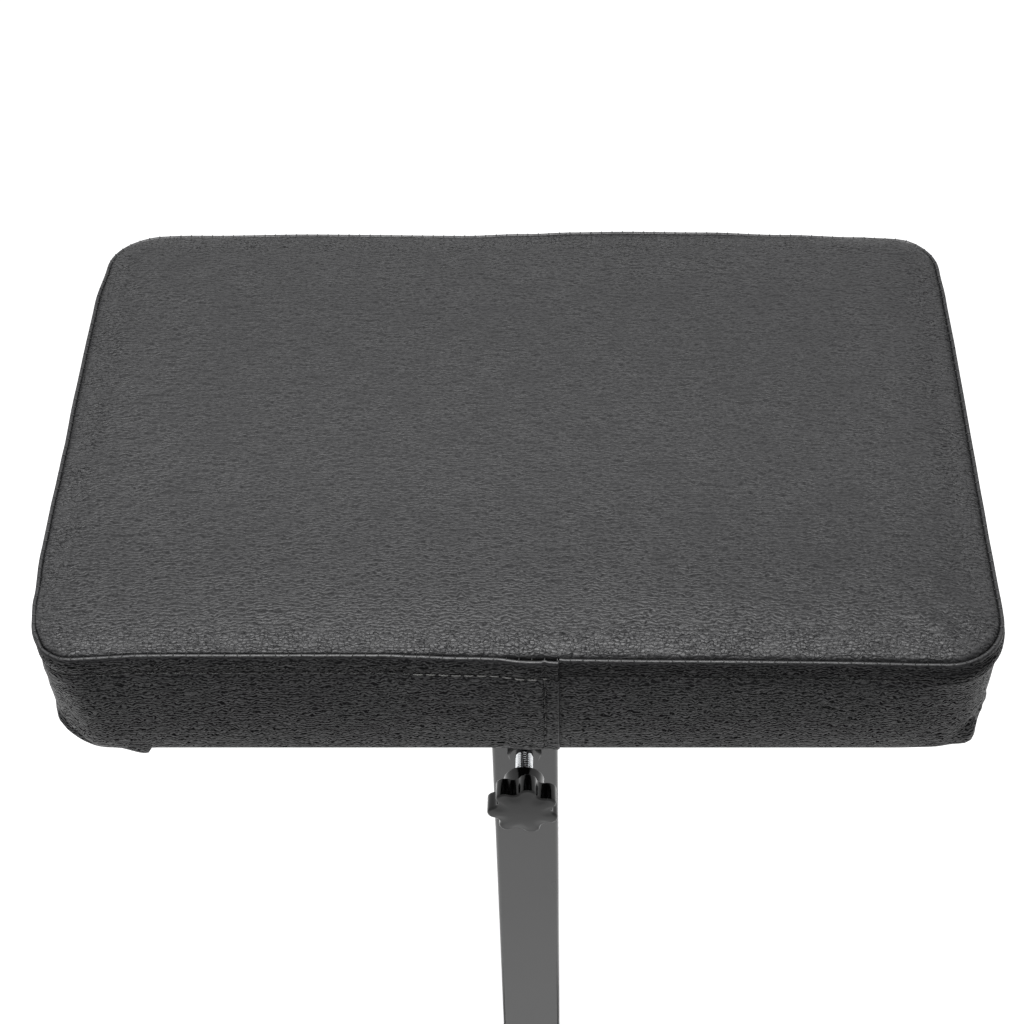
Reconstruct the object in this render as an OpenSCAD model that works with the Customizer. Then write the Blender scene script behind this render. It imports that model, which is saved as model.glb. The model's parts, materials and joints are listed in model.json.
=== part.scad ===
// Height-adjustable arm rest: an upholstered pad on a telescoping square post with an H-shaped base.
// The origin is on the floor under the post. Z points up and the clamp knob faces -Y.

/* [Height] */
// Height of the pad's crown above the floor, as it is set
rest_height = 900; // [820:5:1030]

/* [Pad] */
// Width of the pad, from seam to seam
pad_w = 450; // [320:5:560]
// Depth of the pad, from seam to seam
pad_d = 304; // [220:2:400]
// Plan radius of the two corners on the knob side
front_corner_r = 27; // [18:1:45]
// Plan radius of the two far corners
back_corner_r = 31; // [18:1:55]
// Thickness of the foam block
foam_t = 55; // [35:1:80]
// Thickness of the plywood board
board_t = 15; // [12:1:20]
// How far the board's edge stays inside the seam
board_inset = 4; // [2:0.1:6]
// Radius of the board's corners
board_corner_r = 34; // [20:1:40]
// Thickness of the leathercloth cover
leather_t = 1.2; // [0.8:0.1:1.6]
// How far the top panel falls from its flat part to the seam
roll_h = 3.8; // [2:0.2:8]
// Width of the top panel's rolled edge
roll_w = 15; // [8:1:22]
// Rise of the crown over the rolled edge
dome_h = 1.2; // [0.4:0.2:4]
// How far the side band swells past the seam
band_bulge = 2; // [0.5:0.25:4]
// How far the sides pull in between the corners, at the seam
side_draw = 1.5; // [0:0.25:4]
// Width of the leathercloth that is turned under the board
tuck_w = 26; // [18:1:40]

/* [Pad fasteners] */
// Wide side of the steel plate under the pad
head_plate_w = 180; // [130:5:240]
// Narrow side of the steel plate under the pad
head_plate_d = 120; // [90:5:160]
// Thickness of the plate under the pad
head_plate_t = 4; // [3:0.5:6]
// Distance of each bolt hole from the plate's edges
head_hole_inset = 14; // [11:1:20]
// Shank diameter of the pad bolts
pad_bolt_d = 6; // [5:0.5:8]
// Shank length of the pad bolts
pad_bolt_l = 16; // [12:1:18]
// Height of the tee nuts' barrels
tee_barrel_h = 9; // [7:0.5:11]
// Diameter of the tee nuts' flanges
tee_flange_d = 19; // [16:1:24]
// Length and drop of the gussets under the plate
gusset_l = 30; // [20:1:45]
// Thickness of the gussets
gusset_t = 3; // [2:0.5:5]

/* [Post] */
// Outside width of the lower square tube
outer_w = 38; // [36:0.5:44]
// Wall of the lower tube
outer_wall = 1.5; // [1:0.1:2]
// Corner radius of the lower tube
outer_r = 2.6; // [2:0.2:4]
// Length of the lower tube
outer_len = 650; // [560:5:700]
// Outside width of the upper square tube
inner_w = 30; // [26:0.5:31]
// Wall of the upper tube
inner_wall = 1.5; // [1:0.1:2.5]
// Corner radius of the upper tube
inner_r = 2.2; // [1.8:0.2:3]
// Length of the upper tube
inner_len = 360; // [320:5:400]
// Depth of the plastic sleeve in the lower tube
sleeve_depth = 80; // [60:2:110]
// Thickness of the sleeve's collar
collar_t = 3; // [2:0.5:6]
// Height of the guide block on the upper tube's lower end
guide_h = 10; // [6:1:16]

/* [Clamp] */
// Distance from the lower tube's top to the clamp's axis
clamp_drop = 32; // [20:1:50]
// Diameter of the clamp stud
stud_d = 10; // [8:0.5:10]
// Bare length of stud between the nut and the knob
stud_gap = 14.8; // [8:0.2:24]
// How deep the stud sits in the knob
stud_embed = 14; // [10:0.5:18]
// Width across the flats of the welded nut
nut_af = 17; // [16:0.5:19]
// Height of the welded nut
nut_h = 8; // [6:0.5:12]
// Diameter over the knob's lobes
knob_d = 41; // [34:1:50]
// Number of lobes on the knob
knob_lobes = 7; // [5:1:9]
// Radius of the lobes' round tips
lobe_r = 4.2; // [3.6:0.1:4.6]
// Depth of the hollows between the lobes
lobe_depth = 4.4; // [3.6:0.2:5.2]
// Turn of the knob at which it stands
knob_angle = 29; // [0:1:51]
// Length of the knob's lobed part
grip_t = 12.5; // [10:0.5:18]
// Diameter of the knob's hub
hub_d = 23; // [18:0.5:26]
// Length of the knob's hub
hub_l = 12.5; // [8:0.5:16]
// Diameter of the nylon thrust pad
thrust_d = 9; // [8:0.25:9.5]
// Thickness of the nylon thrust pad
thrust_t = 3.6; // [3:0.1:4]

/* [Base] */
// Width of the base over its two feet
base_w = 450; // [360:10:560]
// Length of each foot over its end caps
foot_len = 320; // [260:10:420]
// Flat width of the base tubes
base_tube_w = 50; // [40:1:56]
// Height of the base tubes
base_tube_h = 25; // [20:1:32]
// Wall of the base tubes
base_wall = 1.5; // [1:0.1:2.5]
// Corner radius of the base tubes
base_r = 2.2; // [1.8:0.1:4]
// Side of the two square plates that join the post and the base
flange_w = 110; // [96:2:150]
// Thickness of the post's flange
flange_t = 4; // [3:0.5:8]
// Thickness of the base's plate
base_plate_t = 4; // [3:0.5:8]
// Distance of each bolt hole from the square plates' edges
flange_hole_inset = 13; // [10:0.5:17]
// Shank diameter of the base bolts
base_bolt_d = 8; // [6:1:10]
// Shank length of the base bolts
base_bolt_l = 20; // [19:1:30]
// Diameter of the rubber pads under the feet
pad_foot_d = 30; // [22:1:36]
// Height of the rubber pads under the feet
pad_foot_h = 8; // [6:0.5:14]
// Distance from a foot's end to the middle of its rubber pad
pad_foot_inset = 26; // [20:1:45]
// Thickness of the end caps' visible plates
cap_t = 3; // [2:0.5:6]
// How deep an end cap's stem sits in its foot
cap_stem = 12; // [8:1:18]

/* [Hidden] */
$fn = 48;

// How far a cutting tool runs past the surface that it cuts
overrun = 1;
// Clearance between soft pieces that lie on each other
soft_gap = 0.3;
// Clearance on each side of a piece that slides
slide_gap = 0.3;
// Clearance on each side of a plug or sleeve that stays in its tube
plug_gap = 0.1;
// Radial clearance of a shaft that turns in its hole
turn_gap = 0.05;
// Radial clearance of a bolt in its hole
bolt_gap = 0.5;
// Smallest inside corner radius of the tubes
inside_r = 0.7;

// Sizes of common fasteners as shares of their shank diameter
bolt_head_af_share = 1.625;
bolt_head_h_share = 0.66;
nut_h_share = 0.95;
washer_d_share = 2;
washer_t_share = 0.2;
hex_chamfer_share = 0.06;

// Tee nuts
tee_wall = 1;
tee_flange_t = 1.5;
tee_recess_gap = 0.2;

// Staples: 10 mm crowns with flat wire, driven in a row round the board
staple_crown = 10;
staple_wire_w = 1.2;
staple_wire_t = 0.6;
staple_leg = 8;
staple_edge = 17;
staple_pitch = 34;

// Foot screws
foot_screw_d = 4.6;
foot_screw_head_d = 9;
foot_screw_head_h = 2.6;
foot_screw_l = 14;
foot_recess_d = 12;
foot_recess_h = 5;
foot_chamfer = 1.5;

// Steps from the middle of a lobe's tip, or of a hollow, to its end
lobe_steps = 4;

// Stud tip and knob edges
dog_d = 6;
dog_l = 2.4;
stud_chamfer = 1;
knob_dome = 0.8;
knob_edge = 1.4;
hub_edge = 2.4;
sleeve_stud_gap = 0.5;
thrust_gap = 0.05;
stem_chamfer = 1;

// Heights of the stack, from the floor up
base_top_z = pad_foot_h + base_tube_h;
flange_z = base_top_z + base_plate_t;
outer_z = flange_z + flange_t;
outer_top_z = outer_z + outer_len;
clamp_z = outer_top_z - clamp_drop;
board_z = rest_height - leather_t - soft_gap - foam_t - board_t;
head_plate_z = board_z - head_plate_t;
inner_z = head_plate_z - inner_len;

// The clamp's stations, measured along its axis from the post's middle towards the knob
thrust_y = inner_w / 2 + thrust_gap;
stud_y = thrust_y + thrust_t + thrust_gap;
nut_y = outer_w / 2;
hub_y = nut_y + nut_h + stud_gap;

// Hole places
head_hole_x = head_plate_w / 2 - head_hole_inset;
head_hole_y = head_plate_d / 2 - head_hole_inset;
flange_hole = flange_w / 2 - flange_hole_inset;
foot_x = (base_w - base_tube_w) / 2;
pad_foot_y = foot_len / 2 - pad_foot_inset;
foot_tube_half = foot_len / 2 - cap_t;
tee_d = pad_bolt_d + 2 * turn_gap + 2 * tee_wall;

// Heights within the pad, measured from the board's underside
foam_top = board_t + foam_t;
cover_top = foam_top + soft_gap + leather_t / 2;
seam_h = cover_top - dome_h - roll_h;
tuck_h = -(soft_gap + leather_t / 2);

// Rings of the soft pieces: points in each corner arc, and points between corners
corner_steps = 8;
side_steps = 4;

// The middle surface of the top panel, from the seam inwards: shares of the roll's width and height
roll_shares = [[0, 0], [0.05, 0.36], [0.16, 0.62], [0.34, 0.83], [0.6, 0.96], [1, 1]];
// Shares of the way from the panel's middle to its rolled edge, for the crown
crown_shares = [0.8, 0.55, 0.3, 0.08];
// The middle surface of the side band, from the seam down: shares of the swell and of the height
band_shares = [[0.1, 0.985], [0.42, 0.96], [0.62, 0.91], [0.3, 0.855], [0.8, 0.78], [1, 0.6],
    [1, 0.4], [0.7, 0.2], [-0.15, 0.08]];
// The fold under the board: shares of the board's inset and of the fold's depth
fold_shares = [[0.45, -0.11], [0.95, 1], [1.6, 1]];

// Round and flat shapes

module rounded_rect(w, d, r) {
    square([w, d - 2 * r], center = true);
    square([w - 2 * r, d], center = true);
    for (x = [-1, 1], y = [-1, 1]) translate([x * (w / 2 - r), y * (d / 2 - r)]) circle(r);
}

module bar(w, d, r, len) {
    linear_extrude(len) rounded_rect(w, d, r);
}

module tube(w, d, wall, r, len) {
    difference() {
        bar(w, d, r, len);
        translate([0, 0, -overrun])
            bar(w - 2 * wall, d - 2 * wall, max(r - wall, inside_r), len + 2 * overrun);
    }
}

module hex_block(af, h) {
    bevel = af * hex_chamfer_share;
    corner = af / 2 / cos(30);
    intersection() {
        cylinder(r = corner, h = h, $fn = 6);
        rotate_extrude() polygon([[0, 0], [af / 2, 0], [corner, bevel], [corner, h - bevel],
            [af / 2, h], [0, h]]);
    }
}

module washer(d) {
    difference() {
        cylinder(d = d * washer_d_share, h = d * washer_t_share);
        translate([0, 0, -overrun]) cylinder(d = d + 2 * bolt_gap, h = d * washer_t_share + 2 * overrun);
    }
}

// A hex bolt that stands with its head's bearing face at height 0 and its head above it
module hex_bolt(d, len) {
    chamfer = d * washer_t_share / 2;
    hex_block(d * bolt_head_af_share, d * bolt_head_h_share);
    translate([0, 0, -len]) rotate_extrude() polygon([[0, 0], [d / 2 - chamfer, 0], [d / 2, chamfer],
        [d / 2, len + chamfer], [0, len + chamfer]]);
}

// Points along the front: the child's +Z axis points at the knob
module along_clamp(y) {
    translate([0, -y, clamp_z]) rotate([90, 0, 0]) children();
}

module at_head_holes(z) {
    for (x = [-1, 1], y = [-1, 1]) translate([x * head_hole_x, y * head_hole_y, z]) children();
}

module at_flange_holes(z) {
    for (x = [-1, 1], y = [-1, 1]) translate([x * flange_hole, y * flange_hole, z]) children();
}

// Soft shapes: rings of points that follow the pad's outline

function arc(cx, cy, r, from) = [for (i = [0 : corner_steps])
    let (t = from + 90 * i / corner_steps) [cx + r * cos(t), cy + r * sin(t)]];

// Points along a side from a to b, pulled in by a parabola
function between(a, b, pull) = let (t = (b - a) / norm(b - a))
    [for (i = [1 : side_steps - 1]) let (s = i / side_steps)
        a + (b - a) * s + 4 * pull * s * (1 - s) * [-t.y, t.x]];

// The pad's outline, inset from the seam, at one height, turning anticlockwise
function ring(inset, z) =
    let (a = pad_w / 2 - inset, b = pad_d / 2 - inset, pull = side_draw * max(0, min(1, z / seam_h)),
        rb = max(back_corner_r - inset, roll_w / 2), rf = max(front_corner_r - inset, roll_w / 2),
        q1 = arc(a - rb, b - rb, rb, 0), q2 = arc(rb - a, b - rb, rb, 90),
        q3 = arc(rf - a, rf - b, rf, 180), q4 = arc(a - rf, rf - b, rf, 270),
        flat = concat(q1, between(q1[corner_steps], q2[0], pull),
            q2, between(q2[corner_steps], q3[0], pull),
            q3, between(q3[corner_steps], q4[0], pull),
            q4, between(q4[corner_steps], q1[0], pull)))
    [for (p = flat) [p.x, p.y, z]];

function scaled_ring(inset, share, z) = [for (p = ring(inset, seam_h)) [p.x * share, p.y * share, z]];

// A path in the plane of [inset, height], moved by d along its normals
function offset_path(path, d) = [for (i = [0 : len(path) - 1])
    let (a = path[max(i - 1, 0)], b = path[min(i + 1, len(path) - 1)], t = (b - a) / norm(b - a))
    path[i] + d * [-t.y, t.x]];

// The point on the pad's axis at a ring's height
function middle(points) = [0, 0, points[0].z];

function reversed(list) = [for (i = [len(list) - 1 : -1 : 0]) list[i]];

// A solid whose skin runs through the rings in turn: closed by its first and last ring, or a loop
module loft(rings, loop = false) {
    n = len(rings[0]);
    m = len(rings);
    last = loop ? m - 1 : m - 2;
    sides = [for (j = [0 : last], i = [0 : n - 1])
        let (a = j * n + i, b = j * n + (i + 1) % n, c = ((j + 1) % m) * n + (i + 1) % n,
            d = ((j + 1) % m) * n + i)
        each [[a, d, c], [a, c, b]]];
    centres = loop ? [] : [middle(rings[0]), middle(rings[m - 1])];
    caps = loop ? [] : [for (i = [0 : n - 1])
        each [[m * n, i, (i + 1) % n], [m * n + 1, (m - 1) * n + (i + 1) % n, (m - 1) * n + i]]];
    translate([0, 0, board_z]) polyhedron([for (r = rings) each r, each centres], concat(sides, caps));
}

roll_path = [for (s = roll_shares) [s.x * roll_w, seam_h + s.y * roll_h]];

function crown_height(share) = roll_h + seam_h + dome_h * (1 - pow(share, 2));

function crown_rings(d) = [for (s = crown_shares) scaled_ring(roll_w, s, crown_height(s) + d)];

function path_rings(path) = [for (p = path) ring(p.x, p.y)];

band_path = concat(
    [for (s = band_shares) [-s.x * band_bulge, s.y * seam_h]],
    [for (s = fold_shares) [s.x * board_inset, tuck_h * s.y]],
    [[tuck_w, tuck_h]]);

// Pad

module cover_top_panel() {
    outside = offset_path(roll_path, leather_t / 2);
    inside = offset_path(roll_path, -leather_t / 2);
    color("#3a3a3b") loft(concat(reversed(crown_rings(-leather_t / 2)), reversed(path_rings(inside)),
        path_rings(outside), crown_rings(leather_t / 2)));
}

module cover_side_band() {
    outside = offset_path(band_path, -leather_t / 2);
    inside = offset_path(band_path, leather_t / 2);
    color("#2b2b2c") loft(concat(path_rings(inside), reversed(path_rings(outside))), loop = true);
}

module foam_core() {
    under_leather = leather_t / 2 + soft_gap;
    side = offset_path([for (s = band_shares) [-s.x * band_bulge, s.y * seam_h]], under_leather);
    top = offset_path(roll_path, -under_leather);
    kept_side = [for (p = side) if (p.y > board_t + leather_t) p];
    kept_top = [for (p = top) if (p.y > kept_side[0].y) [max(p.x, kept_side[0].x), p.y]];
    base = [lookup(board_t, [for (p = side) [p.y, p.x]]), board_t];
    color("#d9c27a") loft(concat([ring(base.x, base.y)], reversed(path_rings(kept_side)),
        path_rings(kept_top), crown_rings(-under_leather)));
}

module pad_board() {
    recess_h = tee_flange_t + soft_gap;
    color("#1d1b19") difference() {
        translate([0, 0, board_z])
            bar(pad_w - 2 * board_inset, pad_d - 2 * board_inset, board_corner_r, board_t);
        at_head_holes(board_z - overrun) cylinder(d = tee_d + 2 * plug_gap, h = board_t + 2 * overrun);
        at_head_holes(board_z + board_t - recess_h)
            cylinder(d = tee_flange_d + 2 * tee_recess_gap, h = recess_h + overrun);
    }
}

module staple() {
    translate([-staple_crown / 2, -staple_wire_w / 2, -staple_wire_t])
        cube([staple_crown, staple_wire_w, staple_wire_t]);
    for (x = [-1, 1]) translate([x * (staple_crown - staple_wire_w) / 2, 0, staple_leg / 2])
        cube([staple_wire_w, staple_wire_w, staple_leg], center = true);
}

// A row of staples along one side, kept clear of its corners
module staple_row(side_len, across) {
    run = side_len - 2 * max(front_corner_r, back_corner_r);
    count = floor(run / staple_pitch);
    for (i = [0 : count]) translate([(i / count - 1 / 2) * run, across, 0]) staple();
}

module cover_staples() {
    underside = board_z + tuck_h - leather_t / 2;
    color("#b8babd") translate([0, 0, underside]) {
        for (turn = [0, 180]) {
            rotate(turn) staple_row(pad_w, pad_d / 2 - staple_edge);
            rotate(turn + 90) staple_row(pad_d, pad_w / 2 - staple_edge);
        }
    }
}

module tee_nuts() {
    flange_low = board_t - soft_gap - tee_flange_t;
    color("#b4b6b8") at_head_holes(board_z) difference() {
        union() {
            translate([0, 0, flange_low]) cylinder(d = tee_flange_d, h = tee_flange_t);
            translate([0, 0, flange_low - tee_barrel_h]) cylinder(d = tee_d, h = tee_barrel_h);
        }
        translate([0, 0, -overrun]) cylinder(d = pad_bolt_d + 2 * turn_gap, h = board_t + 2 * overrun);
    }
}

module pad_bolts() {
    under = pad_bolt_d * washer_t_share;
    color("#9fa2a6") at_head_holes(head_plate_z - under) rotate([180, 0, 0])
        hex_bolt(pad_bolt_d, pad_bolt_l);
}

module pad_washers() {
    color("#b4b6b8") at_head_holes(head_plate_z - pad_bolt_d * washer_t_share) washer(pad_bolt_d);
}

// Upper post

module head_plate() {
    color("#3b3b3d") difference() {
        translate([0, 0, head_plate_z])
            bar(head_plate_w, head_plate_d, head_hole_inset / 2, head_plate_t);
        at_head_holes(head_plate_z - overrun)
            cylinder(d = pad_bolt_d + 2 * bolt_gap, h = head_plate_t + 2 * overrun);
    }
}

module head_gussets() {
    nose = gusset_t;
    color("#3b3b3d") for (turn = [0, 180]) rotate(turn)
        translate([inner_w / 2, gusset_t / 2, head_plate_z]) rotate([90, 0, 0]) linear_extrude(gusset_t)
            polygon([[0, 0], [gusset_l, 0], [gusset_l, -nose], [nose, -gusset_l], [0, -gusset_l]]);
}

module inner_post() {
    color("#3b3b3d") translate([0, 0, inner_z]) tube(inner_w, inner_w, inner_wall, inner_r, inner_len);
}

module inner_post_guide() {
    block_w = outer_w - 2 * outer_wall - 2 * slide_gap;
    stem_w = inner_w - 2 * inner_wall - 2 * plug_gap;
    stem_h = 2 * guide_h;
    color("#1c1c1d") {
        translate([0, 0, inner_z - guide_h]) bar(block_w, block_w, outer_r - outer_wall / 2, guide_h);
        translate([0, 0, inner_z]) bar(stem_w, stem_w, inside_r, stem_h);
    }
}

// Lower post

module outer_post() {
    hole_d = stud_d + 2 * bolt_gap;
    color("#3b3b3d") difference() {
        translate([0, 0, outer_z]) tube(outer_w, outer_w, outer_wall, outer_r, outer_len);
        along_clamp(outer_w / 2 - outer_wall - overrun)
            cylinder(d = hole_d, h = outer_wall + 2 * overrun);
    }
}

module post_sleeve() {
    body_w = outer_w - 2 * outer_wall - 2 * plug_gap;
    bore_w = inner_w + 2 * slide_gap;
    bore_r = inner_r + slide_gap;
    stud_hole_d = stud_d + 2 * bolt_gap + 2 * sleeve_stud_gap;
    color("#1c1c1d") difference() {
        union() {
            translate([0, 0, outer_top_z - sleeve_depth])
                bar(body_w, body_w, max(outer_r - outer_wall, inside_r), sleeve_depth);
            translate([0, 0, outer_top_z]) bar(outer_w, outer_w, outer_r, collar_t);
        }
        translate([0, 0, outer_top_z - sleeve_depth - overrun])
            bar(bore_w, bore_w, bore_r, sleeve_depth + collar_t + 2 * overrun);
        along_clamp(bore_w / 2 - overrun) cylinder(d = stud_hole_d, h = outer_w / 2);
    }
}

// Clamp

module clamp_nut() {
    color("#2c2c2e") along_clamp(nut_y) difference() {
        hex_block(nut_af, nut_h);
        translate([0, 0, -overrun]) cylinder(d = stud_d + 2 * turn_gap, h = nut_h + 2 * overrun);
    }
}

module clamp_stud() {
    len = hub_y + stud_embed - stud_y;
    color("#c9ccd0") along_clamp(stud_y) rotate_extrude() polygon([[0, -dog_l], [dog_d / 2, -dog_l],
        [dog_d / 2, 0], [stud_d / 2 - stud_chamfer, 0], [stud_d / 2, stud_chamfer], [stud_d / 2, len],
        [0, len]]);
}

// The grip's outline: a round tip for each lobe, and a round hollow that runs smoothly into both its tips
module lobed_outline() {
    half = 180 / knob_lobes;
    tip_c = knob_d / 2 - lobe_r;
    low = knob_d / 2 - lobe_depth;
    hollow_r = (pow(tip_c, 2) + pow(low, 2) - pow(lobe_r, 2) - 2 * tip_c * low * cos(half))
        / (2 * (tip_c * cos(half) + lobe_r - low));
    hollow_turn = asin(tip_c * sin(half) / (lobe_r + hollow_r));
    tip_turn = half + hollow_turn;
    polygon([for (i = [0 : knob_lobes - 1]) let (a = knob_angle + 2 * half * i, b = a + half) each concat(
        [for (j = [-lobe_steps : lobe_steps]) let (t = a + tip_turn * j / lobe_steps)
            tip_c * [cos(a), sin(a)] + lobe_r * [cos(t), sin(t)]],
        [for (j = [1 - lobe_steps : lobe_steps - 1]) let (t = b - hollow_turn * j / lobe_steps)
            (low + hollow_r) * [cos(b), sin(b)] - hollow_r * [cos(t), sin(t)]])]);
}

module star_knob() {
    tip = knob_d / 2;
    front = hub_l + grip_t;
    color("#141415") along_clamp(hub_y) difference() {
        union() {
            rotate_extrude() polygon([[0, 0], [hub_d / 2 - hub_edge, 0], [hub_d / 2, hub_edge],
                [hub_d / 2, hub_l + overrun], [0, hub_l + overrun]]);
            intersection() {
                translate([0, 0, hub_l]) linear_extrude(grip_t) lobed_outline();
                rotate_extrude() polygon([[0, hub_l], [tip - knob_edge / 2, hub_l],
                    [tip, hub_l + knob_edge / 2], [tip, front - knob_edge - knob_dome],
                    [tip - knob_edge, front - knob_dome], [tip / 2, front - knob_dome / 4], [0, front]]);
            }
        }
        translate([0, 0, -overrun]) cylinder(d = stud_d, h = stud_embed + overrun);
    }
}

module thrust_pad() {
    color("#e8e6df") along_clamp(thrust_y) difference() {
        cylinder(d = thrust_d, h = thrust_t);
        translate([0, 0, thrust_t + thrust_gap - dog_l - turn_gap])
            cylinder(d = dog_d + 2 * turn_gap, h = dog_l + overrun);
    }
}

// Base

module drilled_plate(z, t) {
    difference() {
        translate([0, 0, z]) bar(flange_w, flange_w, flange_hole_inset / 2, t);
        at_flange_holes(z - overrun) cylinder(d = base_bolt_d + 2 * bolt_gap, h = t + 2 * overrun);
    }
}

module post_flange() {
    color("#3b3b3d") drilled_plate(flange_z, flange_t);
}

module base_plate() {
    color("#3b3b3d") drilled_plate(base_top_z, base_plate_t);
}

module flange_bolts() {
    color("#9fa2a6") at_flange_holes(outer_z + base_bolt_d * washer_t_share)
        hex_bolt(base_bolt_d, base_bolt_l);
}

module flange_washers() {
    color("#b4b6b8") {
        at_flange_holes(outer_z) washer(base_bolt_d);
        at_flange_holes(base_top_z - base_bolt_d * washer_t_share) washer(base_bolt_d);
    }
}

module flange_nuts() {
    h = base_bolt_d * nut_h_share;
    color("#9fa2a6") at_flange_holes(base_top_z - base_bolt_d * washer_t_share - h) difference() {
        hex_block(base_bolt_d * bolt_head_af_share, h);
        translate([0, 0, -overrun]) cylinder(d = base_bolt_d + 2 * turn_gap, h = h + 2 * overrun);
    }
}

// A base tube that lies along Y, from its middle, with its flat side down
module lying_tube(half) {
    translate([0, half, pad_foot_h + base_tube_h / 2]) rotate([90, 0, 0])
        tube(base_tube_w, base_tube_h, base_wall, base_r, 2 * half);
}

module base_crossbar() {
    color("#3b3b3d") rotate(90) lying_tube(base_w / 2 - base_tube_w);
}

// One foot, drilled from below for the screws of its rubber pads
module base_foot() {
    difference() {
        lying_tube(foot_tube_half);
        for (y = [-pad_foot_y, pad_foot_y]) translate([0, y, pad_foot_h - overrun])
            cylinder(d = foot_screw_d + 2 * turn_gap, h = base_wall + 2 * overrun);
    }
}

module base_foot_left() {
    color("#3b3b3d") translate([-foot_x, 0, 0]) base_foot();
}

module base_foot_right() {
    color("#3b3b3d") translate([foot_x, 0, 0]) base_foot();
}

module foot_end_caps() {
    stem_w = base_tube_w - 2 * base_wall - 2 * plug_gap;
    stem_h = base_tube_h - 2 * base_wall - 2 * plug_gap;
    color("#1c1c1d") for (x = [-foot_x, foot_x], turn = [0, 180])
        translate([x, 0, pad_foot_h + base_tube_h / 2]) rotate([90, 0, turn])
            translate([0, 0, foot_tube_half]) {
                bar(base_tube_w, base_tube_h, base_r, cap_t);
                translate([0, 0, -cap_stem]) bar(stem_w, stem_h, inside_r, cap_stem);
            }
}

module at_feet() {
    for (x = [-foot_x, foot_x], y = [-pad_foot_y, pad_foot_y]) translate([x, y, 0]) children();
}

module rubber_feet() {
    r = pad_foot_d / 2;
    color("#1a1a1a") at_feet() difference() {
        rotate_extrude() polygon([[0, 0], [r - foot_chamfer, 0], [r, foot_chamfer],
            [r - foot_chamfer / 2, pad_foot_h], [0, pad_foot_h]]);
        translate([0, 0, -overrun]) cylinder(d = foot_recess_d, h = foot_recess_h + overrun);
        translate([0, 0, -overrun]) cylinder(d = foot_screw_d + 2 * plug_gap, h = pad_foot_h + 2 * overrun);
    }
}

module foot_screws() {
    r = foot_screw_head_d / 2;
    color("#9fa2a6") at_feet() translate([0, 0, foot_recess_h]) rotate_extrude()
        polygon([[0, -foot_screw_head_h], [r * 2 / 3, -foot_screw_head_h], [r, -foot_screw_head_h / 2],
            [r, 0], [foot_screw_d / 2, 0], [foot_screw_d / 2, foot_screw_l - stem_chamfer],
            [foot_screw_d / 2 - stem_chamfer, foot_screw_l], [0, foot_screw_l]]);
}

cover_top_panel();
cover_side_band();
foam_core();
pad_board();
cover_staples();
tee_nuts();
pad_bolts();
pad_washers();
head_plate();
head_gussets();
inner_post();
inner_post_guide();
outer_post();
post_sleeve();
clamp_nut();
clamp_stud();
star_knob();
thrust_pad();
post_flange();
flange_bolts();
flange_washers();
flange_nuts();
base_plate();
base_crossbar();
base_foot_left();
base_foot_right();
foot_end_caps();
rubber_feet();
foot_screws();
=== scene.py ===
"""An upholstered arm rest on a telescoping square post: its leathercloth cover, seams, clamp and finishes.

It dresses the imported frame, which holds every rigid piece at its real size. Lengths are in metres.
"""
import json
from contextlib import contextmanager
from math import atan2, cos, dist, exp, hypot, pi, radians, sin, sqrt, tau

import bmesh
import bpy
import numpy as np
from bpy.props import FloatProperty, FloatVectorProperty, IntProperty, PointerProperty
from bpy.types import Operator, Panel, PropertyGroup
from mathutils import Matrix, Vector, noise


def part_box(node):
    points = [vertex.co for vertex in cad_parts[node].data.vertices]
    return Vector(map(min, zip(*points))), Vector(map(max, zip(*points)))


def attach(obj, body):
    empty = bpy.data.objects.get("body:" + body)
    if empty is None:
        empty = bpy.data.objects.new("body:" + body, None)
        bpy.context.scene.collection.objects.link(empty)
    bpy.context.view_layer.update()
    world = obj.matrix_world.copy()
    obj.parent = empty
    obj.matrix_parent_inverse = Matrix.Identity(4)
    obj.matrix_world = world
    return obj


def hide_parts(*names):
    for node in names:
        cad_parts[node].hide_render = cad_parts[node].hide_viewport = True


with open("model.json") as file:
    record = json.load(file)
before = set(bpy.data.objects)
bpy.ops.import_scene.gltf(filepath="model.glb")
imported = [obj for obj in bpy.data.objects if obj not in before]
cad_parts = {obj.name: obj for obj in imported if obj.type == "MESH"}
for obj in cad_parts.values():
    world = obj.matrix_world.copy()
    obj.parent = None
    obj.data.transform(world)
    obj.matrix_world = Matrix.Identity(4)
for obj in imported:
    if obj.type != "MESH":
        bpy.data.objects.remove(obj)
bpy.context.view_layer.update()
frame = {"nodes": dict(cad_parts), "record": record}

bl_info = {
    "name": "Arm rest stand",
    "version": (1, 0, 0),
    "blender": (4, 5, 0),
    "location": "View3D > Sidebar > Arm rest",
    "description": "Dresses the packed arm rest stand: cover, seams, clamp, finishes and stage",
    "category": "Object",
}

MM = 0.001

# Where the cover and the clamp stand in the frame
CROWN_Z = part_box("cover_top_panel")[1].z
SEAM_Z = CROWN_Z - 5.6 * MM
CLAMP_Z = (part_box("clamp_stud")[0].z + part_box("clamp_stud")[1].z) / 2
KNOB_BACK_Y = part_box("star_knob")[1].y
STUD_TIP_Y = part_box("clamp_stud")[1].y
BORE_Y = KNOB_BACK_Y - 14 * MM


def linear(code):
    """The linear colour, with alpha, of an sRGB hex code."""
    parts = [int(code[i:i + 2], 16) / 255 for i in (1, 3, 5)]
    return [c / 12.92 if c <= 0.04045 else ((c + 0.055) / 1.055) ** 2.4 for c in parts] + [1.0]


def length(name, default, text, top=1.0):
    return FloatProperty(name=name, description=text, default=default, min=0.0, max=top, unit="LENGTH", precision=4)


def colour(name, code, text):
    return FloatVectorProperty(name=name, description=text, default=linear(code), size=4, subtype="COLOR",
                               min=0.0, max=1.0)


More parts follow.
